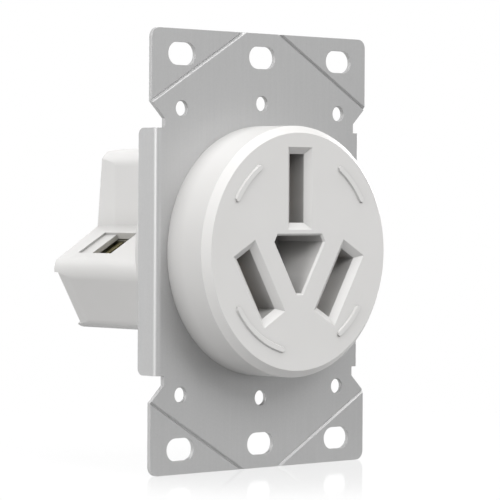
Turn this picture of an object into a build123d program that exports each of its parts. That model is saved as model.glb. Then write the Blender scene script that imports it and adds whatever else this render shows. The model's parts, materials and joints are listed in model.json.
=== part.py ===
from build123d import *
import os
from math import atan2, cos, degrees, hypot, radians, sin, tan

# A flush straight blade receptacle for a cooker or dryer circuit. A round white face stands through a
# steel mounting strap, and a three-lobed housing behind the strap holds one contact and one wire
# terminal in each lobe.
#
# Frame: X to the right and Z up as seen from the front, Y to the back, in millimetres. The origin is
# the centre of the strap's back face, which seats on the wall box. One lobe is drawn pointing up, and
# the others are the same lobe turned about Y.

# Clearances
FIT_GAP = 0.2           # between moulded and loose pieces that locate each other
THREAD_GAP = 0.05       # between a screw's outside and its hole
EDGE_GAP = 0.1          # between the contact's riser and the lobe's wall

# Mounting strap
STRAP_W = 62.6
STRAP_END = 5.23        # from the box-screw slots' centres to the strap's top or bottom edge
STRAP_T = 1.0
STRAP_CORNER_R = 2.0
STRAP_HOLE_R = 25.0
NOTCH_OUTER_Z = 31.5    # where the side notch starts, at the strap's edge
NOTCH_INNER_Z = 28.0    # where its slanted side ends, at the neck
NECK_HALF_W = 27.7
WING_HALF_H = 26.0
WING_HALF_W = 29.8
WING_REACH = 5.0        # how far the bent wings reach behind the strap's back face
WING_CORNER_R = 1.5
BEND_R = 0.25           # inside radius of the bend
BOX_SCREW_DX = 46.02
BOX_SCREW_DZ = 83.34
BOX_SLOT_L = 7.7
BOX_SLOT_W = 4.85
PLATE_SCREW_DZ = 60.32
PLATE_CENTRE_DZ = 63.5
PLATE_HOLE_D = 3.4
SCORE_END_X = 5.4       # where a scored line meets the strap's top or bottom edge
SCORE_DEPTH = 0.4

# Face
FACE_PROUD = 12.1       # from the strap's front to the face
FACE_R = 25.35
FACE_BEVEL = 1.5        # the even bevel round the face
BOSS_BASE_R = 26.95     # at the strap; the side leans in slightly from there to the bevel
FACE_WALL = 3.0
SPIGOT_WALL = 2.2
SPIGOT_REACH = 3.0      # how far the spigot passes behind the strap's back face
CHAMBER_WALL = 1.4
SLOT_RADIUS = 13.5      # from the centre to the middle of each slot
SLOT_W = 4.2
SLOT_L = 14.65
SLOT_DEPTH = 7.5
FUNNEL_FLARE = 1.45
FUNNEL_DEPTH = 1.2
CHAMBER_W = 7.0
CHAMBER_L = 15.0
WELL_TOP = 3.47         # from the centre to the triangular well's top side
WELL_SIDE = 5.09        # from the centre to each of its slanted sides
WELL_CORNER = 1.55
WELL_DEPTH = 14.0
WELL_EDGE = 0.4

# Rear housing
BASE_R = 26.8
BASE_DEPTH = 9.5
BASE_WALL = 2.0
LOBE_HALF_W = 9.1
LOBE_REACH = 22.4
LOBE_CORNER_R = 4.0
LOBE_WALL = 1.6
LOBE_DEPTH = 44.1
RIM_DROP = 1.8          # how much lower the rim lies at a lobe's end than beside the centre
DRAFT_START = 37.4      # behind this depth the lobe's walls lean in
DRAFT_DEG = 4.5
CHANNEL_HALF_W = 6.7    # the sunk back of each lobe, open at its end
CHANNEL_DEPTH = 3.1
REAR_WALL = 2.2
CORE_SIDE = 5.8         # from the centre to each side of the well between the lobes
CORE_R = 8.6
CORE_FLOOR = 12.0
LOCATING_RIB_W = 1.6

# Terminals
SHEET = 1.2             # the contact's brass strip
LUG_W = 10.8
LUG_DEPTH = 15.2
LUG_WALL = 1.6
LUG_SCREW_WALL = 2.8
WIRE_GAP = 5.4
PRESSURE_PLATE_T = 1.2
TERMINAL_SCREW_R = 3.6
TERMINAL_SCREW_L = 7.6
DRIVE_SLOT_W = 1.2
DRIVE_SLOT_DEPTH = 1.5
ACCESS_HOLE_R = 4.4
POCKET_W = 8.8
POCKET_H = 7.4
POCKET_RECESS = 0.5

# Contacts
BLADE_GAP = 2.4
JAW_W = 12.0
JAW_FLARE = 0.9
JAW_FLARE_H = 2.4
MOUTH_GAP = 0.6
FOLD_R = 0.9            # radius of a fold, to the middle of the sheet
BRIDGE_SPAN = 17.4
BRIDGE_W = 10.4
RISER_W = 7.2
SPRING_T = 0.8
SPRING_H = 5.5
SPRING_BACK = 3.0       # from the bridge to the spring's nearer edge
SPRING_OPEN = 0.5       # how far its open ends stop short of the jaw's edge

# Assembly screws
POST_CIRCLE_R = 18.0
POST_SIDE = 6.4
ASSEMBLY_SCREW_R = 1.5
ASSEMBLY_HEAD_R = 2.9
ASSEMBLY_HEAD_H = 2.0
ASSEMBLY_SCREW_L = 16.0
ASSEMBLY_TIP_GAP = 1.0

# Each lobe: its turn about Y from the one that points up, and whether its blade stands along the radius.
# The assembly posts stand halfway between the lobes.
THIRD_TURN = 120.0
HALFWAY = radians(THIRD_TURN / 2)
LOBES = {
    name: (number * THIRD_TURN, number == 0)
    for number, name in enumerate(("neutral", "right_line", "left_line"))}
POST_TURNS = {
    name: THIRD_TURN / 2 + number * THIRD_TURN
    for number, name in enumerate(("upper_right", "lower", "upper_left"))}

# Heights and depths that follow from the sizes above
STRAP_H = BOX_SCREW_DZ + 2 * STRAP_END
STRAP_FRONT = -STRAP_T
FACE_Y = STRAP_FRONT - FACE_PROUD
FACE_INSIDE = FACE_Y + FACE_WALL
SLOT_END = FACE_Y + SLOT_DEPTH
BRIDGE_BACK = BASE_DEPTH - BASE_WALL
BRIDGE_FRONT = BRIDGE_BACK - SHEET
CHANNEL_FLOOR = LOBE_DEPTH - CHANNEL_DEPTH
VOID_END = CHANNEL_FLOOR - REAR_WALL
LUG_BACK = VOID_END - FIT_GAP
LUG_FRONT = LUG_BACK - LUG_DEPTH
TAIL_FRONT = LUG_FRONT + LUG_WALL
TAIL_BACK = TAIL_FRONT + SHEET
PLATE_FRONT = TAIL_BACK + WIRE_GAP
PLATE_BACK = PLATE_FRONT + PRESSURE_PLATE_T

# Places across a lobe that follow from the sizes above
VOID_HALF_W = LOBE_HALF_W - LOBE_WALL
VOID_START = CORE_SIDE + LOBE_WALL
VOID_REACH = LOBE_REACH - LOBE_WALL
LUG_INNER_Z = VOID_START + FIT_GAP
LUG_OUTER_Z = LUG_INNER_Z + LUG_W
LUG_Z = (LUG_INNER_Z + LUG_OUTER_Z) / 2
RISER_X = -(VOID_HALF_W - EDGE_GAP - SHEET / 2)
LUG_LEFT = RISER_X + FOLD_R + EDGE_GAP
LUG_RIGHT = VOID_HALF_W - FIT_GAP
LUG_X = (LUG_LEFT + LUG_RIGHT) / 2
BEND_X = WING_HALF_W - BEND_R - STRAP_T


def section(y):
    """The drawing plane at depth y, with X to the right and Z up."""
    return Plane(origin=(0, y, 0), x_dir=(1, 0, 0), z_dir=(0, -1, 0))


def prism(sketch, front, back):
    """A sketch drawn in X and Z, carried from the depth front to the depth back."""
    return extrude(section(back) * sketch, back - front)


def block(x0, x1, front, back, z0, z1):
    return prism(Pos((x0 + x1) / 2, (z0 + z1) / 2) * Rectangle(x1 - x0, z1 - z0), front, back)


def turned(shape, turn):
    """A shape of the upright lobe, turned about Y to another lobe."""
    return Rot(0, turn, 0) * shape


def on_post(sketch, front, back, turn):
    """A sketch carried from front to back at the assembly post at this turn from straight up."""
    return turned(prism(Pos(0, POST_CIRCLE_R) * sketch, front, back), turn)


def save(shape, name):
    export_step(shape, f"parts/{name}.step")


def flat_strap():
    """The strap's flat sheet out to the wings' bends, with a notch above and below each wing."""
    half_w = STRAP_W / 2
    half_h = STRAP_H / 2
    lower = [
        (half_w, -half_h), (half_w, -NOTCH_OUTER_Z), (NECK_HALF_W, -NOTCH_INNER_Z), (NECK_HALF_W, -WING_HALF_H),
        (BEND_X, -WING_HALF_H)]
    right = lower + [(x, -z) for x, z in reversed(lower)]
    left = [(-x, -z) for x, z in right]
    outline = Polygon(*right, *left, align=None)
    by_height = outline.vertices().sort_by(Axis.Y)
    outline = fillet(by_height[:2] + by_height[-2:], STRAP_CORNER_R)
    return prism(outline, STRAP_FRONT, 0)


def wing():
    """The right-hand side of the strap, folded back along the wall box's side."""
    centre = CenterArc((BEND_X, BEND_R), BEND_R + STRAP_T / 2, -90, 90)
    centre += Line((WING_HALF_W - STRAP_T / 2, BEND_R), (WING_HALF_W - STRAP_T / 2, WING_REACH))
    folded = extrude(trace(centre, STRAP_T), WING_HALF_H, both=True)
    tips = folded.edges().filter_by(Axis.X).sort_by(Axis.Y)[-2:]
    return fillet(tips, WING_CORNER_R)


def score_line(side, end):
    """A V-groove across one corner of the strap's front. side and end are 1 or -1, for X and Z."""
    x0, z0 = side * STRAP_W / 2, end * NOTCH_OUTER_Z
    x1, z1 = side * SCORE_END_X, end * STRAP_H / 2
    slope = degrees(atan2(z1 - z0, x1 - x0))
    bar = SCORE_DEPTH * 2 ** 0.5
    length = hypot(x1 - x0, z1 - z0) + 4 * SCORE_DEPTH
    place = Pos((x0 + x1) / 2, STRAP_FRONT, (z0 + z1) / 2) * Rot(0, -slope, 0) * Rot(45, 0, 0)
    return place * Box(length, bar, bar)


def mounting_strap():
    strap = flat_strap()
    strap += wing()
    strap += mirror(wing(), Plane.YZ)
    strap -= prism(Circle(STRAP_HOLE_R), STRAP_FRONT, 0)
    box_slot = SlotOverall(BOX_SLOT_L, BOX_SLOT_W)
    plate_hole = Circle(PLATE_HOLE_D / 2)
    for end in (1, -1):
        for side in (1, 0, -1):
            x = side * BOX_SCREW_DX / 2
            plate_dz = PLATE_SCREW_DZ if side else PLATE_CENTRE_DZ
            strap -= prism(Pos(x, end * BOX_SCREW_DZ / 2) * box_slot, STRAP_FRONT, 0)
            strap -= prism(Pos(x, end * plate_dz / 2) * plate_hole, STRAP_FRONT, 0)
            if side:
                strap -= score_line(side, end)
    return strap


def boss():
    """The round face, its bevelled side and the spigot that passes through the strap."""
    spigot_r = STRAP_HOLE_R - FIT_GAP
    inside_r = spigot_r - SPIGOT_WALL
    profile = Polygon(
        (0, FACE_Y), (FACE_R, FACE_Y), (FACE_R + FACE_BEVEL, FACE_Y + FACE_BEVEL), (BOSS_BASE_R, STRAP_FRONT),
        (spigot_r, STRAP_FRONT), (spigot_r, SPIGOT_REACH), (inside_r, SPIGOT_REACH), (inside_r, FACE_INSIDE),
        (0, FACE_INSIDE), align=None)
    return revolve(profile, Axis.Y)


def well_outline(grow=0):
    """The blunted triangle in the middle of the face, or the same one grown by a wall."""
    top = WELL_TOP + grow
    side = WELL_SIDE + grow
    corner_x = (side + top * cos(HALFWAY)) / sin(HALFWAY)
    tip_z = -side / cos(HALFWAY)
    triangle = Polygon((-corner_x, top), (0, tip_z), (corner_x, top), align=None)
    return chamfer(triangle.vertices(), WELL_CORNER)


def slot_size(radial, width, length):
    """Width and height in X and Z of a slot in the upright lobe."""
    return (width, length) if radial else (length, width)


def slot_outline(radial, width, length):
    return Pos(0, SLOT_RADIUS) * Rectangle(*slot_size(radial, width, length))


def blade_slot(radial):
    """What one slot takes out of the face: funnel, slot and the contact's chamber."""
    throat = section(FACE_Y + FUNNEL_DEPTH) * slot_outline(radial, SLOT_W, SLOT_L)
    flare = degrees(atan2(FUNNEL_FLARE, FUNNEL_DEPTH))
    cut = extrude(throat, FUNNEL_DEPTH, taper=-flare)
    cut += prism(slot_outline(radial, SLOT_W, SLOT_L), FACE_Y + FUNNEL_DEPTH, SLOT_END)
    cut += prism(slot_outline(radial, CHAMBER_W, CHAMBER_L), SLOT_END, BRIDGE_FRONT)
    return cut


def well_cut():
    """The triangular well, with a small bevel round its mouth."""
    edge = extrude(section(FACE_Y + WELL_EDGE) * well_outline(), WELL_EDGE, taper=-45)
    return edge + prism(well_outline(), FACE_Y + WELL_EDGE, FACE_Y + WELL_DEPTH)


def front_cover():
    cover = boss()
    walls_end = BRIDGE_FRONT - FIT_GAP
    wall = 2 * CHAMBER_WALL
    for turn, radial in LOBES.values():
        tube = slot_outline(radial, CHAMBER_W + wall, CHAMBER_L + wall)
        cover += turned(prism(tube, FACE_INSIDE, walls_end), turn)
    cover += prism(well_outline(CHAMBER_WALL), FACE_INSIDE, FACE_Y + WELL_DEPTH + CHAMBER_WALL)
    pilot_end = BASE_DEPTH - ASSEMBLY_SCREW_L - ASSEMBLY_TIP_GAP
    post_end = BRIDGE_BACK - FIT_GAP
    for turn in POST_TURNS.values():
        cover += on_post(Rectangle(POST_SIDE, POST_SIDE), FACE_INSIDE, post_end, turn)
        cover -= on_post(Circle(ASSEMBLY_SCREW_R + THREAD_GAP), pilot_end, post_end, turn)
    for turn, radial in LOBES.values():
        cover -= turned(blade_slot(radial), turn)
    return cover - well_cut()


def lobe_outline(inset=0, start=0):
    """The upright lobe's outline, drawn in by inset, from the height start outwards."""
    top = LOBE_REACH - inset
    outline = Pos(0, (start + top) / 2) * Rectangle(2 * (LOBE_HALF_W - inset), top - start)
    return fillet(outline.vertices().sort_by(Axis.Y)[-2:], LOBE_CORNER_R - inset)


def lobe():
    """One solid lobe. Its sides lean in near the back, and its rim slopes down towards its end."""
    length = LOBE_DEPTH - DRAFT_START
    lean = length * tan(radians(DRAFT_DEG))
    back = Pos(0, (LOBE_REACH - lean) / 2) * Rectangle(2 * (LOBE_HALF_W - lean), LOBE_REACH - lean)
    envelope = extrude(section(LOBE_DEPTH) * back, length, taper=-DRAFT_DEG)
    solid = prism(lobe_outline(), 0, DRAFT_START) + (prism(lobe_outline(), DRAFT_START, LOBE_DEPTH) & envelope)
    slope_start = LOBE_HALF_W / tan(HALFWAY)
    beyond = Polygon(
        (LOBE_DEPTH, slope_start), (LOBE_DEPTH - RIM_DROP, LOBE_REACH), (LOBE_DEPTH, LOBE_REACH), align=None)
    return solid - extrude(Plane.YZ * beyond, LOBE_HALF_W, both=True)


def core_well():
    """The well between the lobes: a triangle with its corners rounded off by a circle."""
    triangle = RegularPolygon(CORE_SIDE, len(LOBES), major_radius=False, rotation=90 - THIRD_TURN / 2)
    return prism(triangle & Circle(CORE_R), CORE_FLOOR, LOBE_DEPTH)


def terminal_cuts():
    """What the upright lobe loses inside, at its wire entry on the right and at its back."""
    cut = prism(lobe_outline(LOBE_WALL, VOID_START), 0, VOID_END)
    rib_start = LUG_OUTER_Z + FIT_GAP
    cut -= block(-LOCATING_RIB_W / 2, LOCATING_RIB_W / 2, 0, VOID_END, rib_start, VOID_REACH)
    z0, z1 = LUG_Z - POCKET_W / 2, LUG_Z + POCKET_W / 2
    cut += block(LUG_RIGHT, LOBE_HALF_W, TAIL_BACK, TAIL_BACK + POCKET_H, z0, z1)
    cut += block(LOBE_HALF_W - POCKET_RECESS, LOBE_HALF_W, TAIL_BACK, DRAFT_START, z0, z1)
    cut += block(-CHANNEL_HALF_W, CHANNEL_HALF_W, CHANNEL_FLOOR, LOBE_DEPTH, VOID_START, LOBE_REACH)
    cut += prism(Pos(LUG_X, LUG_Z) * Circle(ACCESS_HOLE_R), VOID_END, CHANNEL_FLOOR)
    return cut


def rear_housing():
    housing = prism(Circle(BASE_R), 0, BASE_DEPTH)
    for turn, _ in LOBES.values():
        housing += turned(lobe(), turn)
    housing -= prism(Circle(STRAP_HOLE_R), 0, BRIDGE_BACK)
    for turn, _ in LOBES.values():
        housing -= turned(terminal_cuts(), turn)
    for turn in POST_TURNS.values():
        housing -= on_post(Circle(ASSEMBLY_SCREW_R + FIT_GAP), BRIDGE_BACK, BASE_DEPTH, turn)
    return housing - core_well()


def jaws():
    """Two sprung leaves with flared mouths, folded from one strip, for a blade that stands along Z."""
    leaf_x = (BLADE_GAP + SHEET) / 2
    mouth_x = leaf_x + JAW_FLARE
    mouth_y = SLOT_END + MOUTH_GAP
    neck_y = mouth_y + JAW_FLARE_H
    fold_y = BRIDGE_BACK - SHEET / 2
    right = [(mouth_x, mouth_y), (leaf_x, neck_y), (leaf_x, fold_y)]
    left = [(-x, y) for x, y in reversed(right)]
    return extrude(trace(FilletPolyline(*right, *left, radius=FOLD_R), SHEET), JAW_W / 2, both=True)


def facing_slot(shape, radial):
    """A shape drawn round the origin for an upright blade, turned and moved to its slot."""
    return Pos(0, 0, SLOT_RADIUS) * Rot(0, 0 if radial else 90, 0) * shape


def contact(radial):
    """One brass contact: jaws, a bridge that seats on the housing, and a tail folded into the lug."""
    bridge = block(
        -BRIDGE_SPAN / 2, BRIDGE_SPAN / 2, BRIDGE_FRONT, BRIDGE_BACK,
        SLOT_RADIUS - BRIDGE_W / 2, SLOT_RADIUS + BRIDGE_W / 2)
    z0, z1 = LUG_Z - RISER_W / 2, LUG_Z + RISER_W / 2
    bridge -= block(-BRIDGE_SPAN / 2, RISER_X + FOLD_R, BRIDGE_FRONT, BRIDGE_BACK, z0, z1)
    top_y = BRIDGE_BACK - SHEET / 2
    tail_y = TAIL_BACK - SHEET / 2
    path = [(RISER_X + 2 * SHEET, top_y), (RISER_X, top_y), (RISER_X, tail_y), (LUG_RIGHT - SHEET, tail_y)]
    tail = extrude(trace(FilletPolyline(*path, radius=FOLD_R), SHEET), RISER_W / 2, both=True)
    return bridge + Pos(0, 0, LUG_Z) * tail + facing_slot(jaws(), radial)


def contact_spring(radial):
    """A steel clip round three sides of the jaws, which keeps them closed on the blade."""
    inner_w = BLADE_GAP + 2 * SHEET
    low = -JAW_W / 2 + SPRING_OPEN
    high = JAW_W / 2
    outer = Pos(0, (low + high + SPRING_T) / 2) * Rectangle(inner_w + 2 * SPRING_T, high + SPRING_T - low)
    inner = Pos(0, (low + high) / 2) * Rectangle(inner_w, high - low)
    back = BRIDGE_FRONT - SPRING_BACK
    return facing_slot(prism(outer - inner, back - SPRING_H, back), radial)


def terminal_lug():
    """A rectangular tube: wire goes in at the right, the contact's tail at the left, the screw at the back."""
    lug = block(LUG_LEFT, LUG_RIGHT, LUG_FRONT, LUG_BACK, LUG_INNER_Z, LUG_OUTER_Z)
    lug -= block(
        LUG_LEFT, LUG_RIGHT, TAIL_FRONT, LUG_BACK - LUG_SCREW_WALL, LUG_INNER_Z + LUG_WALL, LUG_OUTER_Z - LUG_WALL)
    hole = Pos(LUG_X, LUG_Z) * Circle(TERMINAL_SCREW_R + THREAD_GAP)
    return lug - prism(hole, LUG_BACK - LUG_SCREW_WALL, LUG_BACK)


def pressure_plate():
    """The plate that the terminal screw presses on the wire."""
    return block(
        LUG_LEFT + FIT_GAP, LUG_RIGHT - FIT_GAP, PLATE_FRONT, PLATE_BACK,
        LUG_INNER_Z + LUG_WALL + FIT_GAP, LUG_OUTER_Z - LUG_WALL - FIT_GAP)


def terminal_screw():
    """A headless screw with a slot for the driver at its back end."""
    back = PLATE_BACK + TERMINAL_SCREW_L
    screw = prism(Pos(LUG_X, LUG_Z) * Circle(TERMINAL_SCREW_R), PLATE_BACK, back)
    reach = TERMINAL_SCREW_R
    return screw - block(
        LUG_X - reach, LUG_X + reach, back - DRIVE_SLOT_DEPTH, back, LUG_Z - DRIVE_SLOT_W / 2, LUG_Z + DRIVE_SLOT_W / 2)


def assembly_screw(turn):
    """A pan-head screw that pulls the face and the housing together on the strap."""
    tip = BASE_DEPTH - ASSEMBLY_SCREW_L
    head_end = BASE_DEPTH + ASSEMBLY_HEAD_H
    head = prism(Circle(ASSEMBLY_HEAD_R), BASE_DEPTH, head_end)
    head -= prism(Rectangle(2 * ASSEMBLY_HEAD_R, DRIVE_SLOT_W), head_end - ASSEMBLY_HEAD_H / 2, head_end)
    screw = head + prism(Circle(ASSEMBLY_SCREW_R), tip, BASE_DEPTH)
    return turned(Pos(0, 0, POST_CIRCLE_R) * screw, turn)


os.makedirs("parts", exist_ok=True)
save(mounting_strap(), "mounting_strap")
save(front_cover(), "front_cover")
save(rear_housing(), "rear_housing")
for lobe_name, (lobe_turn, blade_radial) in LOBES.items():
    save(turned(contact(blade_radial), lobe_turn), f"{lobe_name}_contact")
    save(turned(contact_spring(blade_radial), lobe_turn), f"{lobe_name}_contact_spring")
    save(turned(terminal_lug(), lobe_turn), f"{lobe_name}_lug")
    save(turned(pressure_plate(), lobe_turn), f"{lobe_name}_pressure_plate")
    save(turned(terminal_screw(), lobe_turn), f"{lobe_name}_terminal_screw")
for post_name, post_turn in POST_TURNS.items():
    save(assembly_screw(post_turn), f"{post_name}_assembly_screw")
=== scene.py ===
# %% [markdown]
# A flush straight blade receptacle, dressed for a product picture. The solids come from the packed
# frame and stay as they are. This script gives them their finishes, adds what is too fine for the
# solids, such as screw threads and raised marks, and sets up the camera, the light and the floor.
# The part's own sizes are in millimetres, and MM turns them into Blender's metres. The floor and the
# lamps are given in metres.

# %% Load the frame
import json
from math import cos, pi, radians, sin

import bmesh
import bpy
from mathutils import Matrix, Vector


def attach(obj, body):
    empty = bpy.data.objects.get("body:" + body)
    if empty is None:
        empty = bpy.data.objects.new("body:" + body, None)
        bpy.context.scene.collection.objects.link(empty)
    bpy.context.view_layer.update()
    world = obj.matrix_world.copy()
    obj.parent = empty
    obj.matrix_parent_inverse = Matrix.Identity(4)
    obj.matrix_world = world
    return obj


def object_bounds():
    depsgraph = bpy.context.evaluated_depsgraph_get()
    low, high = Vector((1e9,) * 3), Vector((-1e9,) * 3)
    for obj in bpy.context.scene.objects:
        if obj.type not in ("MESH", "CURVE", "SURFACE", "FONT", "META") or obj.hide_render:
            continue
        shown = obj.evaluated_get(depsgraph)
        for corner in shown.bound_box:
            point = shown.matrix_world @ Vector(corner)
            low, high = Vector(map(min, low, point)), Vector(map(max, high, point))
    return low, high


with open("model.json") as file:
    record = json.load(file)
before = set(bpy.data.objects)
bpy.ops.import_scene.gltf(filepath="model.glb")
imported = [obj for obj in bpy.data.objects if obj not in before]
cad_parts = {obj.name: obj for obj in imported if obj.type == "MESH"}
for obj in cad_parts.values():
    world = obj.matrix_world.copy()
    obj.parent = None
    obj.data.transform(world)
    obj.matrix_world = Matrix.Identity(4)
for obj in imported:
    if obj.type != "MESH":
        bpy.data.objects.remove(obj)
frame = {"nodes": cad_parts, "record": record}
nodes = frame["nodes"]
cad_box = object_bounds()
scene = bpy.context.scene
MM = 0.001
print("nodes in the frame:", len(nodes))

# %% [markdown]
# The camera stands where the photographer's did. Two facts settle a camera: where it is, and which
# way it points. Here the second is given as three turns: a swing about the upright axis, a small
# tilt down, and a slight roll. A long lens keeps the round face from bulging.

# %% Camera
CAMERA_PLACE = (-399.92 * MM, -430.52 * MM, 10.19 * MM)
CAMERA_SWING = 42.718
CAMERA_TILT = 0.977
CAMERA_ROLL = 0.299
SENSOR = 36.0
LENS = 195.56
NEAREST_SEEN = 10 * MM

camera_data = bpy.data.cameras.new("camera")
camera_data.sensor_width = SENSOR
camera_data.lens = LENS
camera_data.clip_start = NEAREST_SEEN
camera = bpy.data.objects.new("camera", camera_data)
scene.collection.objects.link(camera)
swing = Matrix.Rotation(radians(-CAMERA_SWING), 4, "Z")
tilt = Matrix.Rotation(radians(90 - CAMERA_TILT), 4, "X")
roll = Matrix.Rotation(radians(CAMERA_ROLL), 4, "Z")
camera.matrix_world = Matrix.Translation(CAMERA_PLACE) @ swing @ tilt @ roll
scene.camera = camera
print("camera is", round(Vector(CAMERA_PLACE).length / MM), "mm from the strap")

# %% [markdown]
# Colours are picked as sRGB hex values, which is how a paint or screen colour is usually given. The
# renderer works in linear light, so one function turns a hex value into linear numbers. A second
# small function adds a shader node: its inputs are either plain values or other nodes' outputs.

# %% Colour and node helpers
def linear(hex_value):
    """An sRGB hex colour as linear red, green, blue and a full alpha."""
    parts = [int(hex_value[i:i + 2], 16) / 255 for i in (1, 3, 5)]
    return (*[c / 12.92 if c <= 0.04045 else ((c + 0.055) / 1.055) ** 2.4 for c in parts], 1.0)


def add(tree, kind, inputs=None, **settings):
    """Adds one node, with its settings, and its inputs by socket name or number."""
    node = tree.nodes.new(kind)
    for name, value in settings.items():
        setattr(node, name, value)
    for name, value in (inputs or {}).items():
        if isinstance(value, bpy.types.NodeSocket):
            tree.links.new(value, node.inputs[name])
        else:
            node.inputs[name].default_value = value
    return node


def new_material(name):
    """An empty node material and its output node."""
    material = bpy.data.materials.new(name)
    material.use_nodes = True
    material.node_tree.nodes.clear()
    return material, add(material.node_tree, "ShaderNodeOutputMaterial")


def per_metre(size_mm):
    """The scale that gives a pattern this size in millimetres, for coordinates in metres."""
    return 1 / (size_mm * MM)


print("a mid grey of #808080 is", round(linear("#808080")[0], 3), "in linear light")

# %% [markdown]
# White walls pass light on to each other, so a deep slot renders paler than it looks on a real white
# face. Here shade is painted into the colour to make up for it. The Ambient Occlusion node measures
# how far a point is closed in by what stands round it, from 1 in the open to 0 in a tight corner.
# The tone is multiplied by a painted shade that follows it, darker in slots and corners.

# %% Painted shade in slots and corners
SHADE_SAMPLES = 8


def with_painted_shade(tree, colour, depth, reach_mm):
    """With painted shade: the colour darker by up to this depth where walls within the reach close
    it in.
    """
    room = add(tree, "ShaderNodeAmbientOcclusion", {"Distance": reach_mm * MM},
               samples=SHADE_SAMPLES)
    shade = add(tree, "ShaderNodeMapRange", {
        "Value": room.outputs["AO"], "To Min": 1 - depth, "To Max": 1.0})
    darker = add(tree, "ShaderNodeMix", {
        "Factor": 1.0, "A": colour, "B": shade.outputs["Result"]},
        data_type="RGBA", blend_type="MULTIPLY")
    return darker.outputs["Result"]


# %% [markdown]
# The face and the rear housing are moulded from a white thermoplastic polyester, which wiring
# devices use because it stands heat and arcs. It comes out of a spark-eroded mould, so it isn't
# glossy: a fine even grain spreads the highlights. The real grain is about 0.05 mm, too fine to
# show here, so it is drawn at 0.35 mm and very shallow. A broad, faint change of tone stands for
# the flow of the melt. The Bevel node rounds the shading at the edges, which are never quite sharp.

# %% Moulded white polyester
POLYESTER_IOR = 1.57
POLYESTER_TONES = ("#D7D6D4", "#DEDDDC")
POLYESTER_ROUGHNESS = (0.36, 0.46)
FLOW_SIZE = 18.0
MOULD_GRAIN = 0.35
GRAIN_STRENGTH = 0.06
GRAIN_DEPTH = 0.05
MOULD_EDGE_R = 0.12
EDGE_SAMPLES = 4
# painted shade: how much darker the colour is made in slots and corners, and how far off a wall
# still darkens it
PAINTED_SLOT_SHADE = 0.62
PAINTED_SLOT_SHADE_REACH = 5.0


def moulded_polyester():
    """A satin white plastic with a fine grain, and painted shade inside its slots and corners."""
    material, output = new_material("moulded_white_polyester")
    tree = material.node_tree
    darker, lighter = POLYESTER_TONES
    smooth, rough = POLYESTER_ROUGHNESS
    place = add(tree, "ShaderNodeTexCoord").outputs["Object"]
    flow = add(tree, "ShaderNodeTexNoise", {
        "Vector": place, "Scale": per_metre(FLOW_SIZE), "Detail": 2.0})
    tone = add(tree, "ShaderNodeMix", {
        "Factor": flow.outputs["Fac"], "A": linear(darker), "B": linear(lighter)},
        data_type="RGBA")
    grain = add(tree, "ShaderNodeTexNoise", {
        "Vector": place, "Scale": per_metre(MOULD_GRAIN), "Detail": 3.0})
    gloss = add(tree, "ShaderNodeMapRange", {
        "Value": flow.outputs["Fac"], "To Min": smooth, "To Max": rough})
    edge = add(tree, "ShaderNodeBevel", {"Radius": MOULD_EDGE_R * MM}, samples=EDGE_SAMPLES)
    bump = add(tree, "ShaderNodeBump", {
        "Height": grain.outputs["Fac"], "Strength": GRAIN_STRENGTH, "Distance": GRAIN_DEPTH * MM,
        "Normal": edge.outputs["Normal"]})
    shader = add(tree, "ShaderNodeBsdfPrincipled", {
        "Base Color": with_painted_shade(tree, tone.outputs["Result"], PAINTED_SLOT_SHADE, PAINTED_SLOT_SHADE_REACH),
        "Roughness": gloss.outputs["Result"], "IOR": POLYESTER_IOR,
        "Normal": bump.outputs["Normal"]})
    tree.links.new(shader.outputs["BSDF"], output.inputs["Surface"])
    return material


white_polyester = moulded_polyester()
print("made", white_polyester.name, "with", len(white_polyester.node_tree.nodes), "nodes")

# %% [markdown]
# The strap is cold-rolled steel sheet with a dull zinc coating. Bare zinc is a metal and only
# reflects, but the grey film that forms on it scatters light as a paint does. So the metallic
# value, which is 1 for a clean metal, is about two thirds here. The coating is rough, with a fine
# crystal speckle, and rolling leaves faint lines along the strap. The speckle is drawn at 0.5 mm,
# coarser than the real one, so that it shows.

# %% Dull galvanised steel
ZINC_TONES = ("#B0B0B0", "#BFBFBF")
ZINC_ROUGHNESS = (0.42, 0.54)
ZINC_BARE = 0.65
SPECKLE = 0.5
ROLLING_LINE = 0.4
ROLLING_LENGTH = 14.0
ROLLING_SHARE = 0.45
SPECKLE_STRENGTH = 0.10
SPECKLE_DEPTH = 0.05
SHEET_EDGE_R = 0.10


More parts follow.
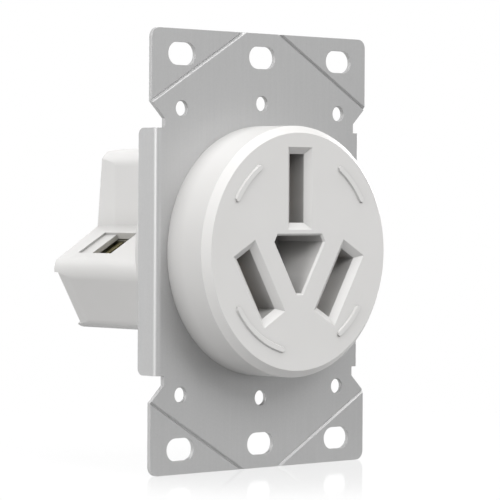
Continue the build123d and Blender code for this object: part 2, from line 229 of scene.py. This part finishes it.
def dull_galvanised_steel():
    """A grey half-metal with a speckle, and lines that run up and down the strap."""
    material, output = new_material("dull_galvanised_steel")
    tree = material.node_tree
    darker, lighter = ZINC_TONES
    smooth, rough = ZINC_ROUGHNESS
    place = add(tree, "ShaderNodeTexCoord").outputs["Object"]
    stretched = add(tree, "ShaderNodeMapping", {"Vector": place, "Scale": (
        per_metre(ROLLING_LINE), per_metre(ROLLING_LINE), per_metre(ROLLING_LENGTH))})
    rolling = add(tree, "ShaderNodeTexNoise", {
        "Vector": stretched.outputs["Vector"], "Scale": 1.0, "Detail": 3.0})
    speckle = add(tree, "ShaderNodeTexNoise", {
        "Vector": place, "Scale": per_metre(SPECKLE), "Detail": 2.0})
    mixed = add(tree, "ShaderNodeMix", {
        "Factor": ROLLING_SHARE, "A": speckle.outputs["Fac"], "B": rolling.outputs["Fac"]},
        data_type="FLOAT")
    tone = add(tree, "ShaderNodeMix", {
        "Factor": mixed.outputs["Result"], "A": linear(darker), "B": linear(lighter)},
        data_type="RGBA")
    gloss = add(tree, "ShaderNodeMapRange", {
        "Value": mixed.outputs["Result"], "To Min": smooth, "To Max": rough})
    edge = add(tree, "ShaderNodeBevel", {"Radius": SHEET_EDGE_R * MM}, samples=EDGE_SAMPLES)
    bump = add(tree, "ShaderNodeBump", {
        "Height": mixed.outputs["Result"], "Strength": SPECKLE_STRENGTH,
        "Distance": SPECKLE_DEPTH * MM, "Normal": edge.outputs["Normal"]})
    shader = add(tree, "ShaderNodeBsdfPrincipled", {
        "Base Color": tone.outputs["Result"], "Metallic": ZINC_BARE,
        "Roughness": gloss.outputs["Result"], "Normal": bump.outputs["Normal"]})
    tree.links.new(shader.outputs["BSDF"], output.inputs["Surface"])
    return material


galvanised_steel = dull_galvanised_steel()
print("made", galvanised_steel.name, "with", len(galvanised_steel.node_tree.nodes), "nodes")

# %% [markdown]
# Inside are four more metals. Each is a strip or bar metal with lines along its working direction,
# so they share one recipe with different numbers: half-hard brass strip for the contacts, blued
# spring steel for the clips, tin-plated aluminium for the lugs, and zinc on the screws and plates.
# The zinc is dipped in a yellow passivate against rust, which gives the olive gold that shows in
# the wire entry.

# %% Strip and bar metals
# name: darker tone, lighter tone, smoothest, roughest, width of a line in millimetres
METALS = {
    "rolled_brass": ("#B9944C", "#CFAE68", 0.24, 0.36, 0.30),
    "blued_spring_steel": ("#4A4E55", "#62666C", 0.28, 0.40, 0.25),
    "tin_plated_aluminium": ("#ABA99C", "#C0BEB1", 0.34, 0.48, 0.60),
    "yellow_passivated_zinc": ("#9B9268", "#BFB78D", 0.22, 0.34, 0.40),
}
LINE_LENGTH = 20
LINE_STRENGTH = 0.08
LINE_DEPTH = 0.03
CUT_EDGE_R = 0.08


def strip_metal(name):
    """A bare metal from the table, with drawn lines twenty times as long as they are wide."""
    darker, lighter, smooth, rough, line_mm = METALS[name]
    material, output = new_material(name)
    tree = material.node_tree
    place = add(tree, "ShaderNodeTexCoord").outputs["Object"]
    drawn = add(tree, "ShaderNodeMapping", {"Vector": place, "Scale": (
        per_metre(line_mm), per_metre(LINE_LENGTH * line_mm), per_metre(line_mm))})
    lines = add(tree, "ShaderNodeTexNoise", {
        "Vector": drawn.outputs["Vector"], "Scale": 1.0, "Detail": 3.0})
    tone = add(tree, "ShaderNodeMix", {
        "Factor": lines.outputs["Fac"], "A": linear(darker), "B": linear(lighter)},
        data_type="RGBA")
    gloss = add(tree, "ShaderNodeMapRange", {
        "Value": lines.outputs["Fac"], "To Min": smooth, "To Max": rough})
    edge = add(tree, "ShaderNodeBevel", {"Radius": CUT_EDGE_R * MM}, samples=EDGE_SAMPLES)
    bump = add(tree, "ShaderNodeBump", {
        "Height": lines.outputs["Fac"], "Strength": LINE_STRENGTH, "Distance": LINE_DEPTH * MM,
        "Normal": edge.outputs["Normal"]})
    shader = add(tree, "ShaderNodeBsdfPrincipled", {
        "Base Color": tone.outputs["Result"], "Metallic": 1.0,
        "Roughness": gloss.outputs["Result"], "Normal": bump.outputs["Normal"]})
    tree.links.new(shader.outputs["BSDF"], output.inputs["Surface"])
    return material


# %% [markdown]
# Each solid already has a material slot from the record. The record's slot names say what each node
# is made of, so one table from slot to finish dresses them all.

# %% Dress the solids
finishes = {
    "white_thermoplastic": white_polyester,
    "galvanised_steel": galvanised_steel,
    "brass": strip_metal("rolled_brass"),
    "spring_steel": strip_metal("blued_spring_steel"),
    "tin_plated_aluminium": strip_metal("tin_plated_aluminium"),
    "zinc_plated_steel": strip_metal("yellow_passivated_zinc"),
}
for entry in frame["record"]["subparts"]:
    node = nodes[entry["node"]]
    node.data.materials.clear()
    node.data.materials.append(finishes[entry["material_slot"]])
print("dressed", len(nodes), "nodes with", len(finishes), "finishes")

# %% [markdown]
# What the solids lack is built point by point. A bmesh is Blender's mesh while it is being edited:
# points and faces are added to it, and at the end it is written into an object. Both of the pieces
# below are a section that is carried along a path, so one function joins the rings of points.

# %% Helpers for added pieces
def skin(mesh, rings):
    """Joins closed rings of points into a tube, and closes it at both ends."""
    for ring, following in zip(rings, rings[1:]):
        for a in range(len(ring)):
            b = (a + 1) % len(ring)
            mesh.faces.new((ring[a], ring[b], following[b], following[a]))
    mesh.faces.new(rings[0])
    mesh.faces.new(rings[-1][::-1])


def finished_piece(name, mesh, slot_name):
    """Turns a bmesh into an object with its slot's finish, which rides on the part."""
    bmesh.ops.recalc_face_normals(mesh, faces=mesh.faces)
    data = bpy.data.meshes.new(name)
    mesh.to_mesh(data)
    mesh.free()
    data.materials.append(finishes[slot_name])
    piece = bpy.data.objects.new(name, data)
    scene.collection.objects.link(piece)
    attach(piece, "root")
    print(name, "has", len(data.polygons), "faces")


# %% [markdown]
# The strap's small holes are tapped for plate screws. A thread is one ridge wound into a helix, so
# it is made as a three-cornered section carried round the hole while it moves along it. It keeps
# inside the sheet, fades out at both ends, and its foot is sunk a little into the hole's wall.

# %% Threads in the tapped holes
STRAP_T = 1.0
HOLE_R = 1.7
THREAD_DEPTH = 0.16
THREAD_PITCH = 0.79
FOOT_SINK = 0.02
RUN_OUT = 0.35
FADE_STEPS = 4
STEPS_PER_TURN = 40
HOLE_DX = 46.02
HOLE_DZ = 60.32
CENTRE_DZ = 63.5


def wind_thread(mesh, x, z):
    """One helical ridge inside a hole of the strap, at x and z in millimetres."""
    half_w = THREAD_PITCH / 3
    travel = STRAP_T - 2 * THREAD_PITCH / 3
    steps = round((travel / THREAD_PITCH + RUN_OUT) * STEPS_PER_TURN)
    foot_r = HOLE_R + FOOT_SINK
    rings = []
    for step in range(steps + 1):
        angle = 2 * pi * step / STEPS_PER_TURN
        fade = min(1.0, step / FADE_STEPS, (steps - step) / FADE_STEPS)
        y = -STRAP_T + half_w + travel * step / steps
        crest_r = foot_r - (THREAD_DEPTH + FOOT_SINK) * fade
        section = [(foot_r, -half_w), (crest_r, 0), (foot_r, half_w)]
        rings.append([
            mesh.verts.new(((x + r * cos(angle)) * MM, (y + dy) * MM, (z + r * sin(angle)) * MM))
            for r, dy in section])
    skin(mesh, rings)


threads = bmesh.new()
for end in (1, -1):
    wind_thread(threads, 0, end * CENTRE_DZ / 2)
    for side in (1, -1):
        wind_thread(threads, side * HOLE_DX / 2, end * HOLE_DZ / 2)
finished_piece("strap_threads", threads, "galvanised_steel")

# %% [markdown]
# The face has raised marks between its slots. Here they are plain raised bars that follow the
# face's edge. Each is a thin arc with rounded ends and sloping sides, as a mould cutter leaves
# them. The arc is walked from end to end, and at each step the section gives four points: two just
# inside the face and two on top.

# %% Raised bars on the face
FACE_Y = -13.1
BAR_R = 21.3
BAR_HALF_W = 0.75
BAR_TOP_HALF_W = 0.5
BAR_HEIGHT = 0.4
BAR_SINK = 0.02
BAR_TIP = 0.12
BAR_STEPS = 28
BARS = ((122, 150), (30, 58), (212, 258), (302, 326))


def raised_bar(mesh, start, end):
    """One raised arc between two angles in degrees, counted from the right."""
    reach = (end - start) * pi / 180 * BAR_R
    section = [
        (-BAR_HALF_W, BAR_SINK), (-BAR_TOP_HALF_W, -BAR_HEIGHT),
        (BAR_TOP_HALF_W, -BAR_HEIGHT), (BAR_HALF_W, BAR_SINK)]
    rings = []
    for step in range(BAR_STEPS + 1):
        along = reach * step / BAR_STEPS
        from_end = min(along, reach - along, BAR_HALF_W) / BAR_HALF_W
        narrow = max((1 - (1 - from_end) ** 2) ** 0.5, BAR_TIP)
        angle = radians(start) + along / BAR_R
        rings.append([
            mesh.verts.new((r * cos(angle) * MM, (FACE_Y + dy) * MM, r * sin(angle) * MM))
            for r, dy in [(BAR_R + off * narrow, dy) for off, dy in section]])
    skin(mesh, rings)


bars = bmesh.new()
for start, end in BARS:
    raised_bar(bars, start, end)
finished_piece("face_raised_bars", bars, "white_thermoplastic")

# %% [markdown]
# The picture's ground is pure white with only a soft shadow and a faint reflection under the strap.
# A floor that is mostly see-through does that: what passes through shows the white world, and small
# shares of a diffuse and a glossy surface keep the shadow and the reflection. Both shares fade to
# nothing with the distance from the part, so the floor's far edge never shows.

# %% Floor
FLOOR_HALF = 0.6
FLOOR_GAP = 0.05 * MM
SHEEN_ROUGHNESS = 0.08
# the share beside the part, and the distances in metres where it starts to fade and is gone
SHADOW_FADE = (0.08, 0.03, 0.20)
MIRROR_FADE = (0.28, 0.045, 0.09)


def studio_floor():
    """A white ground that is clear apart from a faint shadow and a faint reflection."""
    material, output = new_material("white_studio_floor")
    tree = material.node_tree
    place = add(tree, "ShaderNodeTexCoord").outputs["Object"]
    distance = add(tree, "ShaderNodeVectorMath", {0: place}, operation="LENGTH").outputs["Value"]
    shares = [
        add(tree, "ShaderNodeMapRange", {
            "Value": distance, "From Min": near, "From Max": far, "To Min": share, "To Max": 0.0},
            interpolation_type="SMOOTHSTEP").outputs["Result"]
        for share, near, far in (SHADOW_FADE, MIRROR_FADE)]
    white = linear("#FFFFFF")
    clear = add(tree, "ShaderNodeBsdfTransparent")
    matt = add(tree, "ShaderNodeBsdfDiffuse", {"Color": white})
    sheen = add(tree, "ShaderNodeBsdfGlossy", {"Color": white, "Roughness": SHEEN_ROUGHNESS})
    ground = add(tree, "ShaderNodeMixShader", {
        0: shares[0], 1: clear.outputs[0], 2: matt.outputs[0]})
    surface = add(tree, "ShaderNodeMixShader", {
        0: shares[1], 1: ground.outputs[0], 2: sheen.outputs[0]})
    tree.links.new(surface.outputs[0], output.inputs["Surface"])
    return material


height = cad_box[0][2] - FLOOR_GAP
corners = [(-1, -1), (1, -1), (1, 1), (-1, 1)]
floor_data = bpy.data.meshes.new("floor")
floor_data.from_pydata(
    [(x * FLOOR_HALF, y * FLOOR_HALF, height) for x, y in corners], [], [(0, 1, 2, 3)])
floor_data.materials.append(studio_floor())
floor = bpy.data.objects.new("floor", floor_data)
scene.collection.objects.link(floor)
print("floor at", round(height / MM, 2), "mm")

# %% [markdown]
# The world is white where the camera looks, straight or through the floor. Soft light comes from it
# as from a tent, more from above than from below. Reflections see a white backdrop behind the part,
# a bright ceiling, and a dimmer room in front, darker toward its floor, so that the steel stays
# grey and its upward edges glint. The Light Path node tells these kinds of ray apart.

# %% World
TENT_TOP = 0.52
TENT_BOTTOM = 0.14
ROOM_LOW = 0.36
ROOM_HIGH = 0.64
BACKDROP = 1.0
BACKDROP_EDGE = -0.15
CEILING = 1.1
CEILING_EDGE = 0.6
SOFT_EDGE = 0.15

world = bpy.data.worlds.new("studio")
world.use_nodes = True
tree = world.node_tree
tree.nodes.clear()
direction = add(tree, "ShaderNodeTexCoord").outputs["Generated"]
heading = add(tree, "ShaderNodeSeparateXYZ", {0: direction})


def strength_across(axis, low, high, middle=0.0):
    """A strength that goes from low to high where the direction passes middle on this axis."""
    return add(tree, "ShaderNodeMapRange", {
        "Value": heading.outputs[axis], "From Min": middle - SOFT_EDGE,
        "From Max": middle + SOFT_EDGE, "To Min": low, "To Max": high}).outputs["Result"]


room = strength_across("Z", ROOM_LOW, ROOM_HIGH)
walls = strength_across("Y", room, BACKDROP, middle=BACKDROP_EDGE)
ceiling = strength_across("Z", 0.0, CEILING, middle=CEILING_EDGE)
tent = strength_across("Z", TENT_BOTTOM, TENT_TOP)
ray = add(tree, "ShaderNodeLightPath").outputs
seen = add(tree, "ShaderNodeMath", {
    0: ray["Is Camera Ray"], 1: ray["Is Transmission Ray"]}, operation="MAXIMUM")
mirrored = add(tree, "ShaderNodeMath", {0: walls, 1: ceiling}, operation="MAXIMUM")
unseen = add(tree, "ShaderNodeMix", {
    "Factor": ray["Is Glossy Ray"], "A": tent, "B": mirrored.outputs[0]}, data_type="FLOAT")
strength = add(tree, "ShaderNodeMix", {
    "Factor": seen.outputs[0], "A": unseen.outputs["Result"], "B": 1.0}, data_type="FLOAT")
sky = add(tree, "ShaderNodeBackground", {
    "Color": linear("#FFFFFF"), "Strength": strength.outputs["Result"]})
add(tree, "ShaderNodeOutputWorld", {"Surface": sky.outputs[0]})
scene.world = world
scene.view_settings.view_transform = "Standard"
print("world made with", len(tree.nodes), "nodes")

# %% [markdown]
# Large soft lamps do the rest, all aimed at the part: one at the left, a little raised, for the
# rounded side, one high in front for the face, one on top and a weak one at the right. Two more
# stand behind the strap, so that the housing is as bright as the face when the part is seen from
# the back. Their places are in metres and their powers in watts.

# %% Lamps
LAMP_SIZE = 0.45
LAMPS = {
    "left_lamp": ((-0.81, -0.07, 0.23), 3.7),
    "high_front_lamp": ((0.0, -0.70, 0.50), 4.4),
    "top_lamp": ((0.12, -0.08, 0.89), 2.1),
    "right_fill_lamp": ((0.55, -0.70, 0.10), 0.3),
    "rear_lamp": ((-0.05, 0.85, 0.22), 2.8),
    "right_rear_lamp": ((0.80, 0.35, 0.15), 2.4),
}

for name, (place, power) in LAMPS.items():
    lamp_data = bpy.data.lights.new(name, "AREA")
    lamp_data.shape = "SQUARE"
    lamp_data.size = LAMP_SIZE
    lamp_data.energy = power
    lamp = bpy.data.objects.new(name, lamp_data)
    scene.collection.objects.link(lamp)
    lamp.location = place
    lamp.rotation_euler = (-Vector(place)).to_track_quat("-Z", "Y").to_euler()
print("lamps:", ", ".join(LAMPS))
